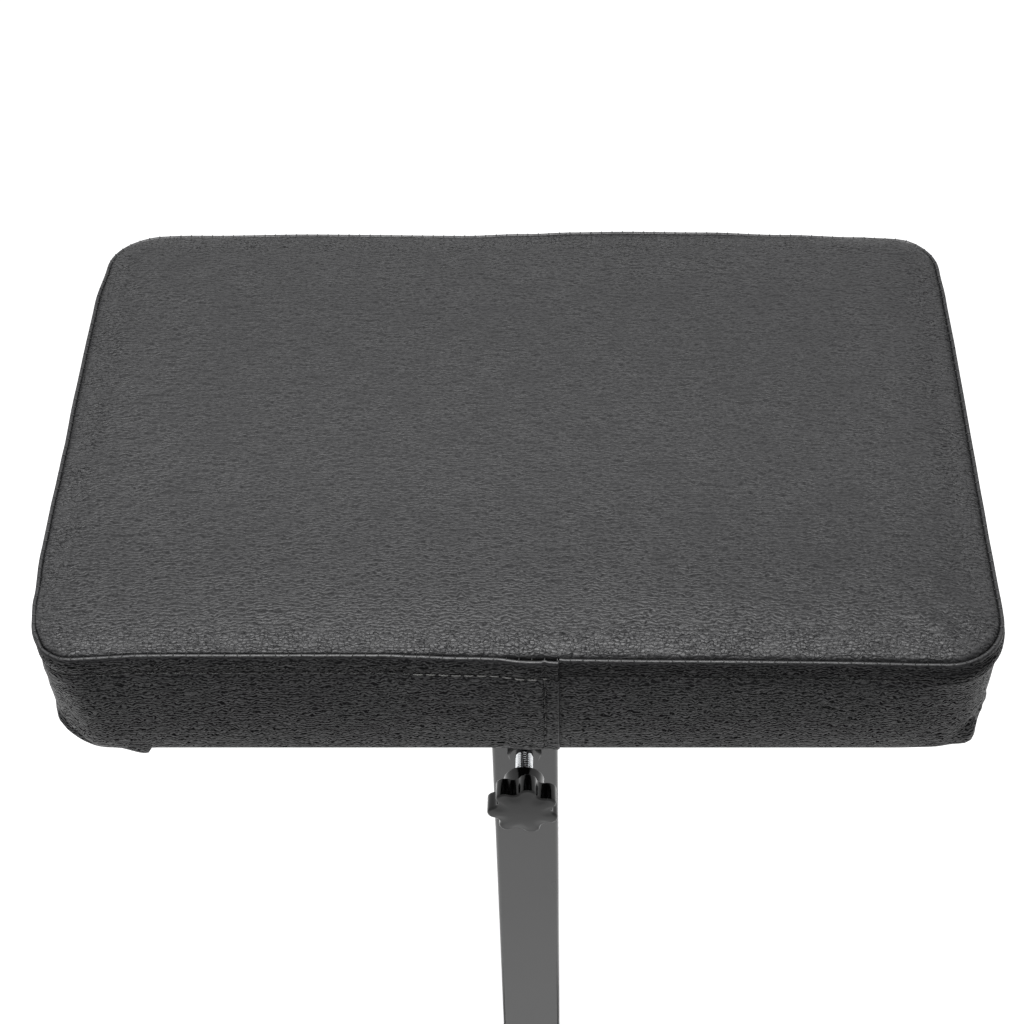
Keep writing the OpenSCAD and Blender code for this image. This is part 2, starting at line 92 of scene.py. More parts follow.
class CoverSizes(PropertyGroup):
    """Sizes of the pad's leathercloth cover."""
    pad_width: length("Pad width", 0.45, "Width of the pad from seam to seam")
    pad_depth: length("Pad depth", 0.304, "Depth of the pad from seam to seam")
    front_corner: length("Front corners", 0.027, "Plan radius of the corners on the knob side", 0.05)
    back_corner: length("Back corners", 0.027, "Plan radius of the far corners", 0.05)
    side_draw: length("Side draw", 0.0015, "How far the sides pull in between the corners", 0.01)
    crown: length("Crown", 0.0012, "Rise of the top panel over its rolled edge", 0.01)
    leather: length("Leathercloth", 0.0012, "Thickness of the leathercloth", 0.003)
    stitch_pitch: length("Stitch pitch", 0.0058, "Distance from stitch to stitch", 0.02)
    thread: length("Thread", 0.0007, "Diameter of the sewing thread", 0.002)
    lap_x: length("Lap edge", 0.0212, "Folded edge of the lap seam, from the middle of the knob side", 0.1)
    lap_stitch_x: length("Lap stitches", 0.0145, "Stitches of the lap seam, from the same place", 0.1)


class ClampSizes(PropertyGroup):
    """Sizes of the star knob and its stud."""
    lobes: IntProperty(name="Lobes", description="Number of lobes on the knob", default=7, min=3, max=12)
    knob_diameter: length("Knob", 0.041, "Diameter over the lobes", 0.1)
    tip_radius: length("Lobe tip", 0.0050, "Radius of the lobes' tips", 0.02)
    lobe_depth: length("Lobe depth", 0.0044, "Depth of the hollows between the lobes", 0.02)
    knob_turn: FloatProperty(name="Knob turn", description="Turn at which the knob stands",
                             default=radians(29), unit="ROTATION")
    grip_length: length("Grip", 0.0125, "Length of the lobed part", 0.05)
    hub_diameter: length("Hub", 0.023, "Diameter of the hub", 0.05)
    hub_length: length("Hub length", 0.0125, "Length of the hub", 0.05)
    stud_diameter: length("Stud", 0.01, "Outside diameter of the stud's thread", 0.02)
    thread_pitch: length("Thread pitch", 0.0015, "Pitch of the stud's thread", 0.004)


class FinishColours(PropertyGroup):
    """Base colours of the finishes."""
    # The top panel and the side band are one leathercloth: the band's darker colour here is painted shade.
    top: colour("Top panel", "#303031", "Leathercloth of the top panel")
    band: colour("Side band", "#242425", "Leathercloth of the side band")
    # Painted highlight: the topstitching is black thread, and this grey stands for it where it catches the light at
    # the front.
    thread: colour("Thread", "#6a6a68", "Thread of the topstitching")
    dark_thread: colour("Dark thread", "#0e0e0e", "Thread of the lap seam and of the edge seam")
    coat: colour("Powder coat", "#232324", "Powder coat on the tubes and plates")
    knob: colour("Knob", "#101011", "Moulded phenolic of the knob")
    foam: colour("Foam", "#d9c88a", "Polyurethane foam of the pad")
    plywood: colour("Board", "#1b1917", "Black-stained birch plywood of the board")
    zinc: colour("Zinc plate", "#b9bcc0", "Zinc plate on the bolts, washers and staples")
    bright: colour("Bright plate", "#dcdee0", "Bright plate on the clamp stud")
    nylon: colour("Black nylon", "#1a1a1b", "Nylon of the sleeve, guide and end caps")
    tip: colour("White nylon", "#e6e4dd", "Nylon of the thrust pad")
    rubber: colour("Rubber", "#191919", "Rubber of the feet")
    floor: colour("Floor", "#f2f2f2", "Floor of the stage")


class StageSettings(PropertyGroup):
    """Light of the stage."""
    key_power: FloatProperty(name="Key light", description="Power of the softbox over the pad", default=29.5,
                             min=0.0, unit="POWER")
    sky: FloatProperty(name="Sky", description="Strength of the even light from all round", default=0.12, min=0.0)


# Materials

NOISE, VORONOI, WAVE = "ShaderNodeTexNoise", "ShaderNodeTexVoronoi", "ShaderNodeTexWave"
MATH, RANGE, MIX, TURN = "ShaderNodeMath", "ShaderNodeMapRange", "ShaderNodeMix", "ShaderNodeMapping"


def add(tree, kind, inputs=(), out=0, **settings):
    """Adds a node with its settings and its inputs, by name or in order, and gives one of its outputs."""
    node = tree.nodes.new(kind)
    for name, value in settings.items():
        setattr(node, name, value)
    for name, value in inputs.items() if isinstance(inputs, dict) else enumerate(inputs):
        if isinstance(value, bpy.types.NodeSocket):
            tree.links.new(value, node.inputs[name])
        else:
            node.inputs[name].default_value = value
    return node.outputs[out] if node.outputs else node


def finish(name, **constants):
    """A new material, its node tree, its shader with these constants, and the object's coordinates."""
    material = bpy.data.materials.new(name)
    material.use_nodes = True
    tree = material.node_tree
    tree.nodes.clear()
    named = {socket.replace("_", " "): value for socket, value in constants.items()}
    shader = add(tree, "ShaderNodeBsdfPrincipled", named)
    add(tree, "ShaderNodeOutputMaterial", (shader,))
    return material, tree, shader.node, add(tree, "ShaderNodeTexCoord", out="Object")


def surface(tree, shader, base, dark, share, height, depth, rough=None):
    """Feeds a shader its colour, from a darker one up to the base, its relief and its roughness."""
    deep = [c * dark for c in base[:3]] + [1]
    tree.links.new(add(tree, MIX, {0: share, 6: deep, 7: base}, out=2, data_type="RGBA"), shader.inputs["Base Color"])
    relief = add(tree, "ShaderNodeBump", {"Height": height, "Distance": depth})
    tree.links.new(relief, shader.inputs["Normal"])
    if rough:
        level = add(tree, RANGE, (height if len(rough) == 2 else rough[2], 0.3, 0.7) + rough[:2])
        tree.links.new(level, shader.inputs["Roughness"])


# Leathercloth: how wide its grain drifts and how far, its finest grain, its worn patches and its broken cells
DRIFT, STRAY, FINE, PATCH, CELL = 9 * MM, 3 * MM, 0.95 * MM, 14 * MM, 1.6 * MM
GATHER, GATHER_RUN, GATHER_TURN = 3.2 * MM, 14 * MM, radians(-32)
# The last of these attributes carries painted shade above nought and painted highlight below it.
LOOKS = "slack", "cracked", "pucker", "painted_shade_and_highlight"


def leathercloth(name, base, stretch, way, period, depth, contrast, even, shine, dark):
    """Embossed PVC leathercloth: fine wandering ripples, broken into pebbles where it is bent.

    The piece's attributes say how deep the grain stands ("slack"), how much creases break it ("cracked") and where it
    is gathered ("pucker"); the last one paints shade into the colour and sheen above nought and a highlight below it.
    The colour and sheen also carry painted highlight on the raised grain and painted shade in its creases.
    """
    material, tree, shader, place = finish(name, IOR=1.5)
    slack, cracked, pucker, painted_shade_and_highlight = [add(tree, "ShaderNodeAttribute", out="Fac", attribute_name=own)
                                    for own in LOOKS]
    drift = add(tree, NOISE, {"Vector": place, "Scale": 1 / DRIFT, "Detail": 2}, out="Color")
    bent = add(tree, "ShaderNodeVectorMath", (drift, (STRAY,) * 3, place), operation="MULTIPLY_ADD")
    laid = add(tree, TURN, {"Vector": bent, "Scale": stretch})
    fine = add(tree, NOISE, {"Vector": laid, "Scale": 1 / FINE, "Detail": 1.5, "Roughness": 0.45})
    wave = add(tree, WAVE, {"Vector": laid, "Scale": pi / 10 / period, "Distortion": 9, "Detail": 1,
                            "Detail Scale": 2}, out="Fac", bands_direction=way)
    grain = add(tree, MIX, {0: 0.55, 2: add(tree, RANGE, (fine, 0.3, 0.7, -0.9, 0.9)),
                            3: add(tree, RANGE, (wave, 0, 1, -0.7, 1.1))})
    patches = add(tree, NOISE, {"Vector": place, "Scale": 1 / PATCH, "Detail": 2})
    worn = add(tree, MATH, (slack, add(tree, RANGE, (patches, 0.3, 0.7, 0.75, 1.2))), operation="MULTIPLY")
    grain = add(tree, MATH, (grain, worn), operation="MULTIPLY")
    wide = add(tree, TURN, {"Vector": bent, "Scale": (0.7, 1, 1)})
    cell = add(tree, VORONOI, {"Vector": wide, "Scale": 1 / CELL, "Randomness": 0.85}, feature="DISTANCE_TO_EDGE")
    crease = add(tree, RANGE, (cell, 0, 0.1, -0.65, 0), interpolation_type="SMOOTHSTEP")
    broken = add(tree, MATH, (add(tree, RANGE, (patches, 0.3, 0.7, 0.6, 1.3)), cracked), operation="MULTIPLY")
    crease = add(tree, MATH, (crease, broken), operation="MULTIPLY")
    run = add(tree, "ShaderNodeUVMap", uv_map="run")
    slanted = add(tree, TURN, {"Vector": run, "Rotation": (0, 0, GATHER_TURN),
                               "Scale": (1 / GATHER, 1 / GATHER_RUN, 1)})
    gathers = add(tree, NOISE, {"Vector": slanted, "Scale": 1, "Detail": 2})
    gathers = add(tree, MATH, (gathers, pucker), operation="MULTIPLY")
    height = add(tree, MATH, (gathers, 4, add(tree, MATH, (grain, crease))), operation="MULTIPLY_ADD")
    # Painted shade darkens the colour and sheen where the fourth attribute is above nought; painted highlight
    # lightens them below nought.
    level = add(tree, MATH, (painted_shade_and_highlight, -0.3, even), operation="MULTIPLY_ADD")
    # Painted highlight and shade: the raised grain is painted lighter and shinier, the sunken grain darker.
    painted_light_share = add(tree, MATH, (grain, contrast, level), operation="MULTIPLY_ADD")
    # Painted shade in the grain's creases, in colour and sheen.
    painted_light_share = add(tree, MATH, (crease, 0.6, painted_light_share), operation="MULTIPLY_ADD", use_clamp=True)
    tree.links.new(add(tree, MATH, (painted_light_share, shine), operation="MULTIPLY"), shader.inputs["Specular IOR Level"])
    surface(tree, shader, base, dark, painted_light_share, height, depth, (0.36, 0.52, fine))
    return material


def sewing_thread(name, base):
    """Bonded polyester thread: three plies laid into a fine rope, with a waxed sheen."""
    material, tree, shader, place = finish(name, Roughness=0.42, IOR=1.5)
    plies = add(tree, WAVE, {"Vector": place, "Scale": 1 / (2.2 * MM), "Distortion": 0.6}, out="Fac",
                bands_direction="DIAGONAL")
    surface(tree, shader, base, 0.55, plies, plies, 0.08 * MM)
    return material


def powder_coat(name, base):
    """Baked polyester powder coat on steel: glossy black, with a faint orange peel."""
    material, tree, shader, place = finish(name, IOR=1.6, Specular_IOR_Level=0.45)
    peel = add(tree, NOISE, {"Vector": place, "Scale": 1 / (1.8 * MM), "Detail": 2})
    cloud = add(tree, NOISE, {"Vector": place, "Scale": 1 / (60 * MM), "Detail": 3})
    surface(tree, shader, base, 0.93, add(tree, RANGE, (cloud, 0.3, 0.7, 0, 1)), peel, 0.03 * MM,
            (0.21, 0.28, cloud))
    return material


def plated_steel(name, base, roughness):
    """Zinc plate on steel: a bright metal with a fine blotched grain from the bath."""
    material, tree, shader, place = finish(name, Metallic=1)
    bath = add(tree, NOISE, {"Vector": place, "Scale": 1 / (1.5 * MM), "Detail": 4})
    surface(tree, shader, base, 0.82, add(tree, RANGE, (bath, 0.35, 0.65, 0, 1)), bath, 0.015 * MM,
            (roughness, roughness + 0.12))
    return material


def phenolic(name, base):
    """Moulded phenolic: black, hard and glossy, with the faint ripple of a polished mould."""
    material, tree, shader, place = finish(name, IOR=1.52, Specular_IOR_Level=0.27)
    ripple = add(tree, NOISE, {"Vector": place, "Scale": 1 / (5 * MM), "Detail": 2})
    surface(tree, shader, base, 0.8, ripple, ripple, 0.04 * MM, (0.1, 0.16))
    return material


def moulded(name, base, grain, roughness, specular=0.5):
    """Injection-moulded nylon or rubber: an even skin with the fine spark grain of its mould."""
    material, tree, shader, place = finish(name, IOR=1.5, Specular_IOR_Level=specular)
    spark = add(tree, NOISE, {"Vector": place, "Scale": 1 / grain, "Detail": 3})
    surface(tree, shader, base, 0.85, spark, spark, grain / 8, (roughness - 0.05, roughness + 0.05))
    return material


def open_foam(name, base):
    """Flexible polyurethane foam: open cells under a millimetre wide, cut with a saw."""
    material, tree, shader, place = finish(name, Roughness=0.95, Specular_IOR_Level=0.2)
    cells = add(tree, VORONOI, {"Vector": place, "Scale": 1 / (1.1 * MM)})
    surface(tree, shader, base, 0.6, add(tree, RANGE, (cells, 0.1, 0.6, 0, 1)), cells, 0.4 * MM)
    return material


def birch_plywood(name, base):
    """Birch plywood with a black stain: long figure along the board, with fine dark pores."""
    material, tree, shader, place = finish(name, Roughness=0.6, IOR=1.5, Specular_IOR_Level=0.3)
    laid = add(tree, TURN, {"Vector": place, "Scale": (0.07, 1, 1)})
    figure = add(tree, NOISE, {"Vector": laid, "Scale": 1 / (9 * MM), "Detail": 5, "Distortion": 1.2})
    pores = add(tree, NOISE, {"Vector": laid, "Scale": 1 / (0.9 * MM), "Detail": 2})
    figure = add(tree, RANGE, (figure, 0.3, 0.7, 0.35, 1))
    share = add(tree, MATH, (figure, add(tree, RANGE, (pores, 0.35, 0.5, 0.6, 1))), operation="MULTIPLY")
    surface(tree, shader, base, 0.45, share, pores, 0.05 * MM)
    return material


# Meshes

def added(operator, **settings):
    """Adds an object with one of Blender's operators, with nothing else selected."""
    bpy.ops.object.select_all(action="DESELECT")
    operator(**settings)
    return bpy.context.active_object


def only(piece):
    """Selects one object alone and makes it active."""
    bpy.ops.object.select_all(action="DESELECT")
    piece.select_set(True)
    bpy.context.view_layer.objects.active = piece


@contextmanager
def editing(piece):
    """Edit mode on one object alone."""
    only(piece)
    bpy.ops.object.mode_set(mode="EDIT")
    yield
    bpy.ops.object.mode_set(mode="OBJECT")


def apply(piece, kind, **settings):
    """Adds a modifier with its settings and applies it."""
    only(piece)
    modifier = piece.modifiers.new(kind.lower(), kind)
    for name, value in settings.items():
        setattr(modifier, name, value)
    bpy.ops.object.modifier_apply(modifier=modifier.name)


def places(piece):
    """The piece's vertices as an array of points."""
    flat = np.empty(len(piece.data.vertices) * 3)
    piece.data.vertices.foreach_get("co", flat)
    return flat.reshape(-1, 3)


def put(piece, points):
    piece.data.vertices.foreach_set("co", np.asarray(points, float).ravel())
    piece.data.update()


def note(piece, name, values):
    """Gives each vertex a value that the piece's finish reads."""
    piece.data.attributes.new(name, "FLOAT", "POINT").data.foreach_set("value", values)


def ring_piece(rings):
    """A tube of quads: a circle on its first ring of points, extruded once for each of the others."""
    piece = added(bpy.ops.mesh.primitive_circle_add, vertices=len(rings[0]))
    put(piece, rings[0])
    grow(piece, range(len(rings[0])), rings[1:])
    return piece


def grow(piece, around, rings):
    """Extrudes the piece's open edge once for each ring, and sets each new vertex on its own point."""
    piece.data.attributes.new("around", "INT", "POINT").data.foreach_set("value", list(around))
    with editing(piece):
        bpy.ops.mesh.select_mode(type="EDGE")
        bpy.ops.mesh.select_all(action="DESELECT")
        bpy.ops.mesh.select_non_manifold(extend=False, use_wire=True, use_boundary=True)
        for ring in rings:
            bpy.ops.mesh.extrude_edges_move()
            shape = bmesh.from_edit_mesh(piece.data)
            number = shape.verts.layers.int["around"]
            for vertex in shape.verts:
                if vertex.select:
                    vertex.co = ring[vertex[number]]
            bmesh.update_edit_mesh(piece.data)


def close_ends(piece, centres):
    """Closes each open end with a fan of faces to its centre."""
    with editing(piece):
        shape = bmesh.from_edit_mesh(piece.data)
        for centre in centres:
            rim = [e for e in shape.edges if e.is_boundary]
            loop, todo = {}, [min(rim, key=lambda e: (e.verts[0].co - Vector(centre)).length)]
            while todo:
                edge = todo.pop()
                if edge not in loop:
                    loop[edge] = True
                    todo += [e for v in edge.verts for e in v.link_edges if e.is_boundary]
            point = shape.verts.new(centre)
            for edge in loop:
                shape.faces.new((*edge.verts, point))
        bmesh.ops.recalc_face_normals(shape, faces=shape.faces)
        bmesh.update_edit_mesh(piece.data)


def face_outwards(piece, point, outward):
    """Turns the mesh over if the face nearest the point looks away from the outward direction."""
    nearest = min(piece.data.polygons, key=lambda f: (f.center - Vector(point)).length)
    if nearest.normal.dot(Vector(outward)) < 0:
        piece.data.flip_normals()


def copies(pattern, matrices):
    """Repeats the pattern in one mesh and sets each copy at the place of its matrix."""
    shape = np.c_[places(pattern), np.ones(len(pattern.data.vertices))]
    apply(pattern, "ARRAY", count=len(matrices), use_relative_offset=False)
    put(pattern, np.concatenate([(shape @ np.array(m).T)[:, :3] for m in matrices]))
    with editing(pattern):
        bpy.ops.mesh.select_all(action="SELECT")
        bpy.ops.mesh.normals_make_consistent(inside=False)
    return pattern


def piece_done(piece, name, material, slot, body, *nodes, angle=40):
    """Names and smooths a piece, gives it its finish, ties it to its body and hides the nodes it replaces."""
    only(piece)
    bpy.ops.object.shade_smooth_by_angle(angle=radians(angle))
    piece.name = piece.data.name = name
    piece.data.materials.append(material)
    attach(piece, body)
    if nodes:
        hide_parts(*nodes)
    return piece


# The pad's outline

def outline_runs(sizes):
    """Straight runs and corner arcs of the seam line, anticlockwise from the middle of the knob side.

    Each is its length, its start and direction, or its centre and first angle, and its radius.
    """
    a, b = sizes.pad_width / 2, sizes.pad_depth / 2
    rf, rb = sizes.front_corner, sizes.back_corner
    turn = pi / 2
    return [(a - rf, (0, -b), (1, 0), 0), (turn * rf, (a - rf, rf - b), -turn, rf),
            (2 * b - rf - rb, (a, rf - b), (0, 1), 0), (turn * rb, (a - rb, b - rb), 0, rb),
            (2 * (a - rb), (a - rb, b), (-1, 0), 0), (turn * rb, (rb - a, b - rb), turn, rb),
            (2 * b - rf - rb, (-a, b - rb), (0, -1), 0), (turn * rf, (rf - a, rf - b), 2 * turn, rf),
            (a - rf, (rf - a, -b), (1, 0), 0)]


def outline_length(sizes):
    return sum(run[0] for run in outline_runs(sizes))


def outline_at(sizes, s):
    """Point, outward direction and share of the side draw, at a distance along the seam line."""
    runs = outline_runs(sizes)
    s %= outline_length(sizes)
    for number, (run, start, way, radius) in enumerate(runs):
        if s <= run or number == len(runs) - 1:
            break
        s -= run
    if radius:
        angle = way + s / radius
        out = (cos(angle), sin(angle))
        return (start[0] + radius * out[0], start[1] + radius * out[1]), out, 0
    point = (start[0] + way[0] * s, start[1] + way[1] * s)
    if number in (0, 8):
        share = point[0] / (sizes.pad_width / 2 - sizes.front_corner)
    else:
        share = 2 * s / run - 1
    return point, (way[1], -way[0]), 1 - share * share


def stations(sizes, long=116, short=72, corner=14):
    """Distances along the seam line, with so many even steps on a long side, a short side and a corner."""
    steps, start = [], 0
    counts = long // 2, corner, short, corner, long, corner, short, corner, long // 2
    for run, count in zip(outline_runs(sizes), counts):
        steps += [start + run[0] * i / count for i in range(count)]
        start += run[0]
    return steps


def smooth(low, high, x):
    t = min(1, max(0, (x - low) / (high - low)))
    return t * t * (3 - 2 * t)


def blend_curve(table, x):
    """A smooth curve through a table of places and values."""
    for (x0, y0), (x1, y1) in zip(table, table[1:]):
        if x < x1:
            return y0 + (y1 - y0) * smooth(x0, x1, x)
    return y1


def hump(x, middle, width):
    return exp(-((x - middle) / width) ** 2)


def quarter(steps):
    """Sine and cosine in even steps through a quarter turn."""
    return [(sin(pi / 2 * k / steps), cos(pi / 2 * k / steps)) for k in range(steps + 1)]


# How far the hand-sewn seam strays above its line and inside it, by the distance along it, in millimetres
SEAM_RISE = (
    (-729, 1.6), (-700, 1), (-617, 1.4), (-560, 0.8), (-420, 1.2), (-300, 1.4), (-240, 1.2), (-215, 0.6),
    (-195, 1.9), (-169, 2.9), (-114, 2.5), (-60, 2.2), (-42, 1.6), (-24, 0.9), (12, 0), (67, -0.5), (157, -0.6),
    (185, -1.1), (230, -0.8), (330, -0.2), (480, 0), (533, -0.6), (545, 0), (587, 1.2), (631, 2.6), (675, 3),
    (703, 2.6), (729, 1.6))
SEAM_INSET = (
    (-729, -1.8), (-700, -1), (-617, -1.2), (-551, -0.2), (-520, 1.6), (-493, 0.8), (-462, -2), (-425, -2.3),
    (-387, -2.2), (-350, -1.3), (-316, -0.9), (-281, 0), (-251, 2.2), (-237, 3.8), (-226, 3.4), (-215, 1.2),
    (-205, 0.4), (-190, 0.9), (-169, 1.3), (-60, 1.1), (-24, 0.4), (12, 0), (67, -0.1), (230, -0.5),
    (254, -1.3), (285, -1.7), (316, -2.2), (350, -2.6), (387, -2.8), (425, -2.7), (466, -2), (490, -0.8),
    (516, -0.9), (530, 0.6), (545, 0.3), (587, -0.8), (631, -1.6), (675, -2), (703, -2), (729, -1.8))


def signed(sizes, s):
    """The distance along the seam line from the middle of the knob side, below nought on the left."""
    whole = outline_length(sizes)
    return s if s <= whole / 2 else s - whole


def seam_point(sizes, s, out, height, hold):
    """A point beyond the seam line by out and above it by height, both in millimetres.

    Hold, from 0 to 1, says how far it keeps to the hand-sewn line.
    """
    (x, y), way, draw = outline_at(sizes, s)
    q = signed(sizes, s) / MM
    inward = draw * sizes.side_draw * min(1, max(0, 1 + height / 66)) + hold * blend_curve(SEAM_INSET, q) * MM
    away = out * MM - inward
    return Vector((x + way[0] * away, y + way[1] * away, SEAM_Z + (height + hold * blend_curve(SEAM_RISE, q)) * MM))


# Top panel

# Its surface from the roll's inner edge down into the seam: millimetres inside the seam line and above it
TOP_ROWS = ((15, 4.4), (12.6, 4.36), (10.4, 4.2), (8.5, 3.9), (6.9, 3.51), (5.5, 3.06), (4.3, 2.57), (3.3, 2.09),
            (2.5, 1.62), (1.85, 1.12), (1.4, 0.6), (1.15, 0), (1.1, -0.7), (1.3, -1.8), (1.6, -3.2))
# How deep the grain stands by the distance from the seam, in millimetres
SLACK = ((0, 0.7), (5, 0.85), (14, 0.85), (30, 0.75), (70, 0.6))
SWELL_CAP = 1.7 * MM


def top_ring(sizes, steps, row):
    inset, height = row
    hold = 1 - min(1, max(0, height / TOP_ROWS[0][1]))
    return [seam_point(sizes, s, -inset, height, hold) for s in steps]


def patch(edge, across, back):
    """Points of a grid that fills a closed ring: the sum of its two ruled surfaces less the flat one."""
    edge = np.array(edge)
    front, right = edge[:across + 1], edge[across:across + back + 1]
    far = edge[across + back:2 * across + back + 1][::-1]
    left = np.append(edge[2 * across + back:], edge[:1], 0)[::-1]
    u, v = np.linspace(0, 1, across + 1)[:, None, None], np.linspace(0, 1, back + 1)[None, :, None]
    flat = ((1 - u) * (1 - v) * front[0] + u * (1 - v) * front[-1] + u * v * far[-1] + (1 - u) * v * far[0])
    return (1 - v) * front[:, None] + v * far[:, None] + (1 - u) * left[None] + u * right[None] - flat


def swell(piece, held, pressure, cap):
    """Lets cloth swell under an even pressure from inside, by no more than the cap."""
    before = places(piece)
    only(piece)
    group = piece.vertex_groups.new(name="held")
    group.add([int(i) for i in np.flatnonzero(held)], 1, "REPLACE")
    cloth = piece.modifiers.new("swell", "CLOTH")
    settings = cloth.settings
    settings.vertex_group_mass = "held"
    settings.use_pressure = True
    settings.uniform_pressure_force = pressure
    settings.effector_weights.gravity = 0
    settings.tension_stiffness = settings.compression_stiffness = 30
    cloth.collision_settings.use_collision = False
    cloth.point_cache.frame_start, cloth.point_cache.frame_end = 1, 20
    for moment in range(1, 21):
        bpy.context.scene.frame_set(moment)
    bpy.ops.object.modifier_apply(modifier=cloth.name)
    bpy.context.scene.frame_set(1)
    piece.vertex_groups.clear()
    moved = places(piece) - before
    size = np.linalg.norm(moved, axis=1, keepdims=True)
    put(piece, before + moved * cap * np.tanh(size / cap) / np.maximum(size, 1e-9))


def make_top_panel(sizes, material):
    """The top panel: a grid over the pad, extruded down its rolled edge and swollen by the foam."""
    across, back = 130, 86
    steps = stations(sizes)
    corner = outline_length(sizes) - sizes.pad_width / 2 + (1 - pi / 4) * sizes.front_corner
    start = min(range(len(steps)), key=lambda i: abs(steps[i] - corner))
    steps = steps[start:] + steps[:start]
    inner = patch(top_ring(sizes, steps, TOP_ROWS[0]), across, back)
    piece = added(bpy.ops.mesh.primitive_grid_add, x_subdivisions=across, y_subdivisions=back, size=1)
    cell = np.rint((places(piece)[:, :2] + 0.5) * (across, back)).astype(int)
    around = [i if j == 0 else across + j if i == across else 2 * across + back - i if j == back else
              2 * (across + back) - j if i == 0 else -1 for i, j in cell]
    put(piece, inner[cell[:, 0], cell[:, 1]])
    grow(piece, around, [top_ring(sizes, steps, row) for row in TOP_ROWS[1:]])
    face_outwards(piece, (0, 0, CROWN_Z), (0, 0, 1))
    points = places(piece)
    inset = np.minimum(sizes.pad_width / 2 - abs(points[:, 0]), sizes.pad_depth / 2 - abs(points[:, 1])) / MM
    inset = np.maximum(inset, TOP_ROWS[0][0])
    inset[len(cell):] = np.repeat([row[0] for row in TOP_ROWS[1:]], len(steps))
    swell(piece, inset < 3, 4, SWELL_CAP)
    note(piece, "slack", [blend_curve(SLACK, d) for d in inset])
    note(piece, "cracked", [(1 - smooth(8, 24, d)) * smooth(0, 3, d) for d in inset])
    # Painted light on the top panel: shade in the last few millimetres into the seam, a highlight along the roll
    # about 7 mm in, and shade over the flat top towards the knob side.
    painted_front_shade = [0.3 * smooth(-20, -110, y) for y in points[:, 1] / MM]
    note(piece, "painted_shade_and_highlight", [1 - smooth(1.1, 3.2, d) - 0.35 * hump(d, 7, 5) + r * smooth(12, 24, d)
                         for d, r in zip(inset, painted_front_shade)])
    apply(piece, "SOLIDIFY", thickness=sizes.leather, offset=-1)
    piece_done(piece, "leather_top_panel", material, "leathercloth_top", "rest", "cover_top_panel", angle=60)


# Side band

# Its surface from the turned-in edge to the part under the board: millimetres beyond the seam line and above it
BAND_ROWS = (
    (-1.7, -3.4), (-1.3, -1.6), (-1, -0.5), (-0.6, 0.2), (-0.05, 0.5), (0.5, 0.4), (0.95, 0), (1.2, -0.7),
    (1.27, -1.7), (1.25, -3), (1.15, -4.6), (1.02, -6.4), (0.86, -8.2), (0.7, -9.7), (0.55, -10.8), (0.42, -11.6),
    (0.45, -12.4), (0.85, -13.3), (1.2, -15), (1.6, -17.6), (1.95, -21), (2.25, -25.5), (2.5, -31),
    (2.6, -37), (2.45, -43), (2.05, -48.5), (1.45, -53), (0.75, -57), (0, -60.2), (-0.7, -62.7),
    (-1.4, -64.7), (-2.2, -66.1), (-3.2, -67), (-4.5, -67.4), (-7, -67.4), (-12, -67.4), (-19, -67.4),
    (-26, -67.4))
# The rows of it that face outwards
SIDE_ROWS = slice(7, 32)
# How soft and full the folded edge is, by the distance along it
SOFTNESS = ((-560, 0.5), (-300, 1), (21.15, 1), (21.25, 0), (300, 0), (560, 0.5))
# Creases at the two corners on the knob side: two ends in distance and height, depth and width, in millimetres
CREASES = (((240, -38), (211, -59), 2, 2), ((238, -44), (214, -63), -0.5, 2.6),
           ((-232, -54), (-203, -62.5), 1.6, 1.4), ((-232, -58), (-203, -66), -0.6, 2.2),
           ((-222, -60), (-196, -66), 0.5, 1.6), ((226, -56), (236, -66), 0.8, 2))
TOPSTITCH_HEIGHT = -11.9
# How far the corners are drawn in below the topstitching, by height: front left, and the others
LEFT_DRAW = ((-67.4, 3.4), (-65, 3.4), (-62, 3.6), (-53, 5.4), (-48, 5.8), (-31, 4), (-25, 2.3), (-12, 0.4),
             (-8, 0))
CORNER_DRAW = ((-67.4, 0.5), (-60, 1.5), (-53, 2.2), (-37, 2.6), (-25, 2), (-17, 1), (-13, -0.8),
               (-10.5, -1.8), (-6, -1.2), (-3, 0))


def crease_depth(q, height):
    depth = 0
    for (q0, z0), (q1, z1), deep, wide in CREASES:
        along = Vector((q1 - q0, z1 - z0))
        away = Vector((q - q0, height - z0))
        t = away.dot(along) / along.length_squared
        gap = abs(away.x * along.y - away.y * along.x) / along.length
        depth += deep * exp(-(gap / wide) ** 2) * smooth(-0.15, 0.2, t) * (1 - smooth(0.8, 1.15, t))
    return depth


def drawn_in(q, height):
    """How far the cover is drawn in at the corners."""
    tight = smooth(180, 206, q) * (1 - smooth(262, 320, q))
    tight += 0.8 * smooth(430, 480, abs(q)) * (1 - smooth(540, 590, abs(q)))
    left = smooth(-320, -262, q) * (1 - smooth(-214, -192, q))
    return blend_curve(CORNER_DRAW, height) * tight + blend_curve(LEFT_DRAW, height) * left


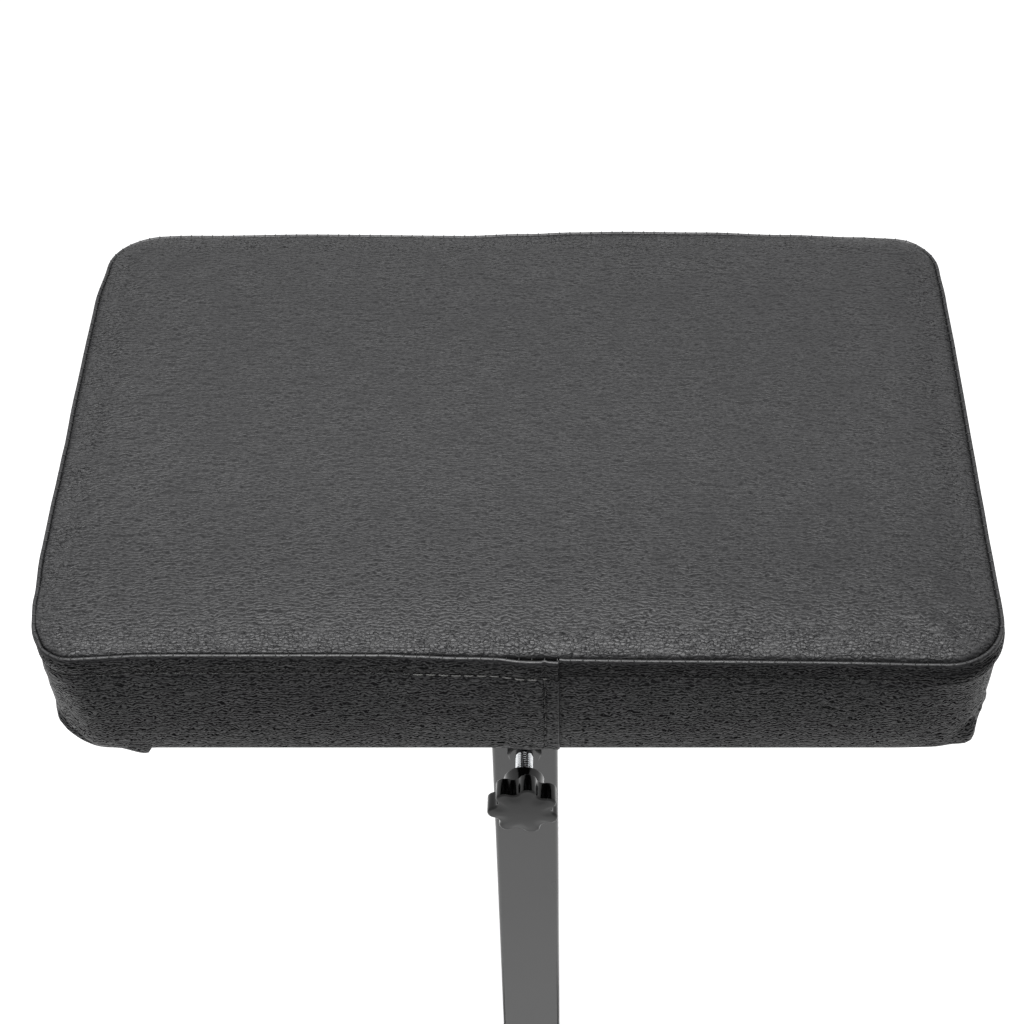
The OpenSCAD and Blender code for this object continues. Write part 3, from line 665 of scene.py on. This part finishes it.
def band_point(sizes, s, out, height):
    """A point of the side band's outer surface, with its lap, its waves and its pulled corners."""
    q = signed(sizes, s) / MM
    soft = blend_curve(SOFTNESS, q)
    corner = 1 - smooth(0, 0.02, outline_at(sizes, s)[2])
    ends = 1 - smooth(690, 725, abs(q))
    out -= drawn_in(q, height)
    seen = smooth(-67, -63, height) if out < 0 else 1
    out += 0.35 * soft * hump(height, -5.4, 3.6) * seen
    out -= (0.2 + 0.3 * (1 - soft)) * hump(height, -12, 1.6) * seen
    wander = noise.noise(Vector((q / 45, height / 26, 3.1)))
    out += 0.55 * ends * wander * smooth(-66, -50, height) * (1 - smooth(-16, -6, height))
    out += 0.3 * ends * noise.noise(Vector((q / 9, height / 5, 8.4))) * hump(height, -6, 5) * soft
    edge, stitch = sizes.lap_x / MM, sizes.lap_stitch_x / MM
    if q < edge:
        fold = sqrt(max(0, 1 - max(0, (q - edge + 0.9) / 0.9) ** 2))
        out += (1.3 * fold + 0.3 * hump(q, edge - 0.9, 0.6)) * smooth(-7, 5, q) * seen
        out -= 0.8 * hump(q, stitch, 0.9) * seen
    else:
        out -= 0.35 * hump(q, edge, 1.2) * seen
    low = smooth(-58, -66.5, height) * smooth(-11, -6, out)
    flap = smooth(-190, -177, q) * (1 - smooth(-175.6, -173, q))
    ear = hump(q, 219, 7)
    lap = smooth(-7, 5, q) * (q < edge)
    height -= low * (3.4 * flap + 1.4 * ear + 0.8 * lap)
    out += 3.4 * ear * hump(height, -66, 9) + 0.7 * low * flap - crease_depth(q, height) * seen
    pleats = 0.5 + 0.5 * cos(q * 0.9)
    height -= 1.1 * corner * pleats * smooth(-8, -16, out) * (1 - smooth(-22, -27, out))
    return seam_point(sizes, s, out, height, smooth(-58, -14, height))


def band_surface(sizes, s, height):
    """The band's surface at a height between its folded edge and its lower fold."""
    outs, heights = np.transpose(BAND_ROWS[SIDE_ROWS])
    return band_point(sizes, s, float(np.interp(-height, -heights, outs)), height)


def make_side_band(sizes, material):
    """The side band: one strip, from its seam allowance to the part stapled under the board."""
    whole = outline_length(sizes)
    finer = ((sizes.lap_x, (-0.95, -0.7, -0.45, -0.25, -0.1, -0.02, 0.08, 0.4, 0.9)),
             (sizes.lap_stitch_x, (-1.4, -0.7, 0, 0.7, 1.4)), (whole, (-178.5, -176.5, -175.2, -174.2, -173.2)))
    extra = [start + away * MM for start, places_near in finer for away in places_near]
    steps = sorted(set(round(s, 6) for s in stations(sizes) + extra))
    rings = [[band_point(sizes, s, out, height) for s in steps] for out, height in BAND_ROWS]
    piece = ring_piece(rings)
    face_outwards(piece, (0, -sizes.pad_depth / 2, SEAM_Z - 30 * MM), (0, -1, 0))
    number = [a.value for a in piece.data.attributes["around"].data]
    run = np.cumsum([0] + [dist(*pair) * MM for pair in zip(BAND_ROWS, BAND_ROWS[1:])])
    level = [index // len(steps) for index in range(len(number))]
    sheet = piece.data.uv_layers.new(name="run")
    half = len(steps) // 2
    for face in piece.data.polygons:
        seam = {number[v] for v in face.vertices} == {0, len(steps) - 1}
        for corner in face.loop_indices:
            index = piece.data.loops[corner].vertex_index
            along = steps[number[index]] + (whole if seam and number[index] < half else 0)
            sheet.data[corner].uv = (along, run[level[index]])
    looks = {name: [] for name in LOOKS}
    lap, stitched = sizes.lap_x / MM, sizes.lap_stitch_x / MM
    for index in range(len(number)):
        out, height = BAND_ROWS[level[index]]
        q = signed(sizes, steps[number[index]]) / MM
        soft = blend_curve(SOFTNESS, q)
        folded = smooth(-12.6, -11.6, height) * (1 - smooth(-2.2, -0.6, height)) if out > 0 else 0
        # Painted shade along the lap seam's stitches, and a painted highlight along the lap's folded edge.
        lap_shade_and_highlight = smooth(-7, 5, q) * (height < -12.5) * (hump(q, stitched, 0.9) - 1.2 * hump(q, lap - 0.3, 0.4))
        looks["slack"].append(0.4 if height > -1 else 1 - folded * (0.5 - 0.3 * soft))
        looks["cracked"].append(0.5 * soft * folded)
        looks["pucker"].append(soft * hump(height, -5.5, 4) + 0.12 * hump(height, -14, 5))
        # Painted light on the band: a highlight along the top of the folded edge, shade on the turned-in edge in the
        # seam's gap and on the folded ridge above the topstitching.
        edge = -2 if -0.7 < out < 0.6 and height > 0.1 else 1 if out < 0 and height > -4 else 0
        looks["painted_shade_and_highlight"].append(edge + max(-1, min(1, folded * (0.6 - 0.3 * soft) + lap_shade_and_highlight)))
    for name, values in looks.items():
        note(piece, name, values)
    apply(piece, "SOLIDIFY", thickness=sizes.leather, offset=-1)
    piece_done(piece, "leather_side_band", material, "leathercloth_band", "rest", "cover_side_band", angle=50)


# Foam

# The block's surface from the board up to its flat top: millimetres beyond the seam line and above it
FOAM_ROWS = (
    (-2, -50.9), (-0.4, -50.7), (0.1, -49.6), (0.5, -43), (0.7, -37), (0.5, -29), (-0.1, -21),
    (-1.3, -14.5), (-1.7, -12), (-1.8, -9), (-2.4, -6.2), (-3.4, -4.6), (-4.2, -2), (-5.6, 0.4), (-8, 1.9),
    (-11, 2.6), (-15, 2.8))


def make_foam(sizes, material):
    """The foam block between the board and the cover, pressed round at its edges."""
    steps = stations(sizes, 58, 36, 8)
    rings = []
    for out, height in FOAM_ROWS:
        hold = smooth(-58, -14, height) * (1 - smooth(-2, 3, height))
        rings.append([])
        for s in steps:
            q = signed(sizes, s) / MM
            slim = max(0, drawn_in(q, height)) + 1.3 * smooth(180, 200, abs(q)) * (1 - smooth(250, 280, abs(q)))
            rings[-1].append(seam_point(sizes, s, out - slim, height, hold))
    centre = Vector((0, 0, SEAM_Z + 3.6 * MM))
    for share in (0.75, 0.5, 0.25, 0.08):
        rings.append([centre + (point - centre) * share for point in rings[len(FOAM_ROWS) - 1]])
    piece = ring_piece(rings)
    close_ends(piece, [(0, 0, SEAM_Z + FOAM_ROWS[0][1] * MM), centre])
    piece_done(piece, "foam_block", material, "foam", "rest", "foam_core")


# Stitches

LAP_STITCHES = 9
# A stitch from its middle to its end: share of its half length, height and width in diameters of the thread
STITCH = ((0, 0.36, 1), (0.5, 0.28, 1), (0.86, 0.05, 0.95), (1, -0.5, 0.75))


def stitch(reach, thread):
    """One stitch of thread along X: it rises out of the leather, lies on it and dips back in."""
    spine = [(-x, z, wide) for x, z, wide in STITCH[:0:-1]] + list(STITCH)
    rings = [[Vector((x * reach / 2, thread / 2 * wide * cos(a), z * thread + thread / 2 * wide * sin(a)))
              for a in (tau * k / 6 for k in range(6))] for x, z, wide in spine]
    piece = ring_piece(rings)
    close_ends(piece, [(x * reach / 2, 0, z * thread) for x, z, _ in (spine[0], spine[-1])])
    return piece


def set_at(point, *axes):
    """Where a piece stands with its own axes along these three."""
    return Matrix.Translation(point) @ Matrix(axes).transposed().to_4x4()


def on_band(sizes, s, height, lift, upright=False):
    """Where a stitch stands on the band: its length lies along the seam line, or upright."""
    point = band_surface(sizes, s, height)
    along = (band_surface(sizes, s + MM, height) - band_surface(sizes, s - MM, height)).normalized()
    up = (band_surface(sizes, s, height + 1) - point).normalized()
    out = along.cross(up).normalized()
    first = up if upright else along
    return set_at(point + out * lift, first, out.cross(first), out)


def make_stitches(sizes, light, dark):
    """The topstitching under the folded edge, the lap seam and the seam that closes the pad."""
    whole, pitch = outline_length(sizes), sizes.stitch_pitch
    rows = {"thread_topstitch": [], "thread_topstitch_painted_highlight": [], "thread_lap_seam": [], "thread_edge_seam": []}
    count = round(whole / pitch)
    for k in range(count):
        s = (k + 0.5) * whole / count
        q = signed(sizes, s) / MM
        if abs(q - sizes.lap_x / MM) > 3.2:
            # The front stretch of the topstitching is sewn in the grey thread, as a painted highlight.
            name = "thread_topstitch_painted_highlight" if -46 < q < 17 else "thread_topstitch"
            lift = -0.05 if -46 < q < 17 else -0.12 if -215 < q < 0 else -0.3
            jitter = 0.25 * noise.noise(Vector((q / 11, 0.7, 0.2)))
            rows[name].append(on_band(sizes, s, TOPSTITCH_HEIGHT - 0.3 + jitter, lift * MM))
        way = outline_at(sizes, s)[1]
        low, high = seam_point(sizes, s, -1.2, -0.1, 1), seam_point(sizes, s, 0.2, 0.5, 1)
        across = (high - low).normalized()
        over = across.cross(Vector((-way[1], way[0], 0)))
        rows["thread_edge_seam"].append(set_at((low + high) / 2, across, across.cross(over), over))
    for k in range(LAP_STITCHES):
        place = sizes.lap_stitch_x + 0.2 * MM * sin(k * 1.9)
        rows["thread_lap_seam"].append(on_band(sizes, place, -14.6 - k * 5.6, -0.3 * MM, True))
    for name, matrices in rows.items():
        reach, share = (0.45, 0.8) if name == "thread_edge_seam" else (0.8, 1)
        piece = copies(stitch(reach * pitch, sizes.thread * share), matrices)
        thread = light if name == "thread_topstitch_painted_highlight" else dark
        piece_done(piece, name, thread, "leathercloth_band", "rest", angle=80)


# Clamp

# Depth of a metric thread in pitches
THREAD_DEPTH = 0.6134


def lobed_outline(sizes, inset):
    """The knob's outline inside by inset: tips and hollows of tangent arcs."""
    lobes, tip, top = sizes.lobes, sizes.tip_radius, sizes.knob_diameter / 2
    reach, floor, c = top - tip, top - sizes.lobe_depth, cos(pi / sizes.lobes)
    hollow = (tip ** 2 - reach ** 2 - floor ** 2 + 2 * reach * floor * c) / (2 * (floor - reach * c - tip))
    centre = floor + hollow
    half = pi / lobes
    join = atan2(centre * sin(half), centre * c - reach)
    points = []
    for k in range(lobes):
        turn = sizes.knob_turn + 2 * half * k
        for side, away, radius, first, sweep in (
                (turn, reach, tip - inset, turn - join, 2 * join),
                (turn + half, centre, hollow + inset, turn + join + pi, 2 * (half - join))):
            for i in range(10):
                a = first + sweep * i / 10
                points.append((away * cos(side) + radius * cos(a),
                               away * sin(side) + radius * sin(a)))
    return points


def make_knob(sizes, material):
    """The star knob: a hub with a blind hole, and a lobed grip with soft edges and a low dome."""
    grip_y = KNOB_BACK_Y - sizes.hub_length
    face_y = grip_y - sizes.grip_length
    angles = [atan2(z, x) for x, z in lobed_outline(sizes, 0)]
    bore, hub = sizes.stud_diameter / 2 + 0.05 * MM, sizes.hub_diameter / 2
    shoulder, back, edge, dome = 1.6 * MM, 0.5 * MM, 1.5 * MM, 0.9 * MM

    def circle(radius, y):
        return [Vector((radius * cos(a), y, CLAMP_Z + radius * sin(a))) for a in angles]

    def lobed(inset, y, share=0, rise=0):
        ring = []
        for x, z in lobed_outline(sizes, inset):
            x, z = x * (1 - share), z * (1 - share)
            lift = rise * (1 - (hypot(x, z) / (sizes.knob_diameter / 2)) ** 2)
            ring.append(Vector((x, y - lift, CLAMP_Z + z)))
        return ring

    rings = [circle(bore, BORE_Y), circle(bore, KNOB_BACK_Y - 0.5 * MM), circle(bore + 0.5 * MM, KNOB_BACK_Y)]
    rings += [circle(hub - shoulder * (1 - s), KNOB_BACK_Y - shoulder * (1 - c)) for s, c in quarter(8)]
    rings += [circle(hub, grip_y + 1.2 * MM), circle(hub + 0.25 * MM, grip_y + 0.5 * MM),
              circle(hub + 0.8 * MM, grip_y + 0.1 * MM), lobed(back + 0.6 * MM, grip_y + 0.02 * MM)]
    rings += [lobed(back * (1 - s), grip_y - back * (1 - c)) for s, c in quarter(4)]
    rings += [lobed(edge * (1 - c), face_y + dome + edge * (1 - s)) for s, c in quarter(7)]
    rings += [lobed(edge, face_y + dome, share, dome * min(1, share / 0.25))
              for share in (0.03, 0.09, 0.2, 0.34, 0.5, 0.66, 0.82, 0.94)]
    piece = ring_piece(rings)
    close_ends(piece, [(0, BORE_Y, CLAMP_Z), (0, face_y, CLAMP_Z)])
    piece_done(piece, "knob_star", material, "black_phenolic", "clamp_screw", "star_knob", angle=50)


def make_stud(sizes, material):
    """The clamp stud: one turn of a rolled metric thread, repeated along its length."""
    pitch, top = sizes.thread_pitch, sizes.stud_diameter / 2
    root = top - THREAD_DEPTH * pitch
    form = (0, 0.12, 0.44, 0.56, 0.88, 1), (root, root, top, top, root, root)
    around, along = 32, 8
    rings = []
    for j in range(along + 1):
        rings.append([])
        for i in range(around):
            a = tau * i / around
            r = float(np.interp((j / along + i / around) % 1, *form))
            rings[-1].append(Vector((r * cos(a), STUD_TIP_Y - pitch * j / along, CLAMP_Z + r * sin(a))))
    piece = ring_piece(rings)
    turns = int((STUD_TIP_Y - BORE_Y) / pitch)
    apply(piece, "ARRAY", count=turns, use_relative_offset=False, use_constant_offset=True,
          constant_offset_displace=(0, -pitch, 0), use_merge_vertices=True, merge_threshold=1e-5)
    close_ends(piece, [(0, STUD_TIP_Y, CLAMP_Z), (0, STUD_TIP_Y - turns * pitch, CLAMP_Z)])
    piece_done(piece, "stud_threaded", material, "bright_zinc", "clamp_screw", "clamp_stud", angle=35)


# Finishes, light and camera

def finishes(colours):
    """The finish of each of the record's material slots."""
    return {
        "leathercloth_top": leathercloth(
            "embossed_leathercloth_top", colours.top, stretch=(0.65, 1, 1), way="Y", period=1.8 * MM,
            depth=0.2 * MM, contrast=0.55, even=0.44, shine=0.56, dark=0.5),
        # The band's finish is a shaded copy of the top's: its darker colour and lower even level are painted shade.
        "leathercloth_band": leathercloth(
            "embossed_leathercloth_band_painted_shade", colours.band, stretch=(0.75, 0.75, 1), way="Z", period=1.6 * MM,
            depth=0.1 * MM, contrast=0.7, even=0.21, shine=0.56, dark=0.65),
        "foam": open_foam("polyurethane_foam", colours.foam),
        "plywood": birch_plywood("black_stained_birch_plywood", colours.plywood),
        "black_powder_coat": powder_coat("glossy_black_powder_coat", colours.coat),
        "bright_zinc": plated_steel("bright_plated_steel", colours.bright, 0.07),
        "zinc_steel": plated_steel("clear_zinc_plate", colours.zinc, 0.32),
        "black_phenolic": phenolic("polished_black_phenolic", colours.knob),
        "black_nylon": moulded("moulded_black_nylon", colours.nylon, 0.6 * MM, 0.45),
        "white_nylon": moulded("moulded_white_nylon", colours.tip, 0.6 * MM, 0.4),
        "black_rubber": moulded("moulded_black_rubber", colours.rubber, 0.9 * MM, 0.7, 0.3),
    }


def finish_for(context, slot):
    """The finish of one slot: the first time, all of them are made."""
    names = context.scene.get("arm_rest_finishes")
    if names is None:
        names = {name: material.name for name, material in finishes(context.scene.arm_rest_colours).items()}
        context.scene["arm_rest_finishes"] = names
    return bpy.data.materials[names[slot]]


def white_rays(tree):
    """Whether a ray comes from the camera, a reflection or a transparency, which see a white studio."""
    rays = add(tree, "ShaderNodeLightPath").node.outputs
    seen = add(tree, MATH, (rays["Is Camera Ray"], rays["Is Glossy Ray"]), operation="MAXIMUM")
    return add(tree, MATH, (seen, rays["Is Transmission Ray"]), operation="MAXIMUM")


FLOOR_GLOW = 0.85


def make_stage(settings, colours):
    """The floor, the white world round it, the softbox and the camera."""
    floor = added(bpy.ops.mesh.primitive_plane_add, size=30)
    floor.name = floor.data.name = "studio_floor"
    paint = bpy.data.materials.new("painted_floor")
    paint.use_nodes = True
    tree = paint.node_tree
    tree.nodes.clear()
    matt = add(tree, "ShaderNodeBsdfDiffuse", {"Color": colours.floor})
    seen = add(tree, MATH, (white_rays(tree), FLOOR_GLOW), operation="MULTIPLY")
    glow = add(tree, "ShaderNodeEmission", {"Strength": seen})
    add(tree, "ShaderNodeOutputMaterial", (add(tree, "ShaderNodeAddShader", (matt, glow)),))
    floor.data.materials.append(paint)

    scene = bpy.context.scene
    scene.world = bpy.data.worlds.new("studio")
    scene.world.use_nodes = True
    tree = scene.world.node_tree
    tree.nodes.clear()
    level = add(tree, RANGE, (white_rays(tree), 0, 1, settings.sky, 1))
    white = add(tree, "ShaderNodeBackground", {"Color": (1, 1, 1, 1), "Strength": level})
    add(tree, "ShaderNodeOutputWorld", (white,))

    lamp = added(bpy.ops.object.light_add, type="AREA", location=(-0.1, -0.25, 2))
    lamp.name = lamp.data.name = "softbox"
    lamp.data.shape, lamp.data.size, lamp.data.energy = "SQUARE", 0.9, settings.key_power
    lamp.rotation_euler = (Vector((0, 0, CROWN_Z)) - lamp.location).to_track_quat("-Z", "Y").to_euler()

    camera = added(bpy.ops.object.camera_add, location=(0.0254, -0.7692, 1.638), rotation=(radians(43.74), 0, 0))
    camera.data.lens, camera.data.sensor_width, camera.data.shift_x = 74.74, 36, -0.0553
    scene.camera = camera
    scene.view_settings.view_transform = "Standard"


# Operators and panel

class ARMREST_OT_cover(Operator):
    """Make the leathercloth top panel and side band"""
    bl_idname = "arm_rest.cover"
    bl_label = "Leathercloth cover"

    def execute(self, context):
        sizes = context.scene.arm_rest_cover
        make_top_panel(sizes, finish_for(context, "leathercloth_top"))
        make_side_band(sizes, finish_for(context, "leathercloth_band"))
        return {"FINISHED"}


class ARMREST_OT_stitches(Operator):
    """Sew the topstitching, the lap seam and the edge seam"""
    bl_idname = "arm_rest.stitches"
    bl_label = "Stitches"

    def execute(self, context):
        colours = context.scene.arm_rest_colours
        # The grey thread is a painted highlight on the front stretch of the topstitching.
        make_stitches(context.scene.arm_rest_cover, sewing_thread("bonded_polyester_thread_painted_highlight", colours.thread),
                      sewing_thread("black_bonded_polyester_thread", colours.dark_thread))
        return {"FINISHED"}


class ARMREST_OT_foam(Operator):
    """Make the foam block inside the cover"""
    bl_idname = "arm_rest.foam"
    bl_label = "Foam block"

    def execute(self, context):
        make_foam(context.scene.arm_rest_cover, finish_for(context, "foam"))
        return {"FINISHED"}


class ARMREST_OT_clamp(Operator):
    """Make the star knob and its threaded stud"""
    bl_idname = "arm_rest.clamp"
    bl_label = "Star knob and stud"

    def execute(self, context):
        make_knob(context.scene.arm_rest_clamp, finish_for(context, "black_phenolic"))
        make_stud(context.scene.arm_rest_clamp, finish_for(context, "bright_zinc"))
        return {"FINISHED"}


class ARMREST_OT_finishes(Operator):
    """Give each carried-over piece of the frame the finish of its slot"""
    bl_idname = "arm_rest.finishes"
    bl_label = "Finishes of the frame"

    def execute(self, context):
        for part in frame["record"]["subparts"]:
            node = frame["nodes"][part["node"]]
            material = finish_for(context, part["material_slot"])
            if not node.material_slots:
                raise RuntimeError(part["node"] + " has no material slot")
            for place in node.material_slots:
                place.material = material
        return {"FINISHED"}


class ARMREST_OT_stage(Operator):
    """Set the floor, the light and the camera"""
    bl_idname = "arm_rest.stage"
    bl_label = "Stage"

    def execute(self, context):
        make_stage(context.scene.arm_rest_stage, context.scene.arm_rest_colours)
        return {"FINISHED"}


OPERATORS = (ARMREST_OT_cover, ARMREST_OT_stitches, ARMREST_OT_foam, ARMREST_OT_clamp, ARMREST_OT_finishes,
             ARMREST_OT_stage)
SETTINGS = {"arm_rest_cover": CoverSizes, "arm_rest_clamp": ClampSizes, "arm_rest_colours": FinishColours,
            "arm_rest_stage": StageSettings}


class ARMREST_PT_panel(Panel):
    """Sizes, colours and steps of the arm rest"""
    bl_label = "Arm rest stand"
    bl_idname = "ARMREST_PT_panel"
    bl_space_type = "VIEW_3D"
    bl_region_type = "UI"
    bl_category = "Arm rest"

    def draw(self, context):
        for name, group in SETTINGS.items():
            box = self.layout.box()
            for setting in group.__annotations__:
                box.prop(getattr(context.scene, name), setting)
        for operator in OPERATORS:
            self.layout.operator(operator.bl_idname)


def register():
    for kind in (*SETTINGS.values(), *OPERATORS, ARMREST_PT_panel):
        bpy.utils.register_class(kind)
    for name, group in SETTINGS.items():
        setattr(bpy.types.Scene, name, PointerProperty(type=group))


def unregister():
    for name in SETTINGS:
        delattr(bpy.types.Scene, name)
    for kind in reversed((*SETTINGS.values(), *OPERATORS, ARMREST_PT_panel)):
        bpy.utils.unregister_class(kind)


def main():
    register()
    bpy.ops.arm_rest.stage()
    bpy.ops.arm_rest.cover()
    bpy.ops.arm_rest.stitches()
    bpy.ops.arm_rest.foam()
    bpy.ops.arm_rest.clamp()
    bpy.ops.arm_rest.finishes()


if __name__ == "__main__":
    main()
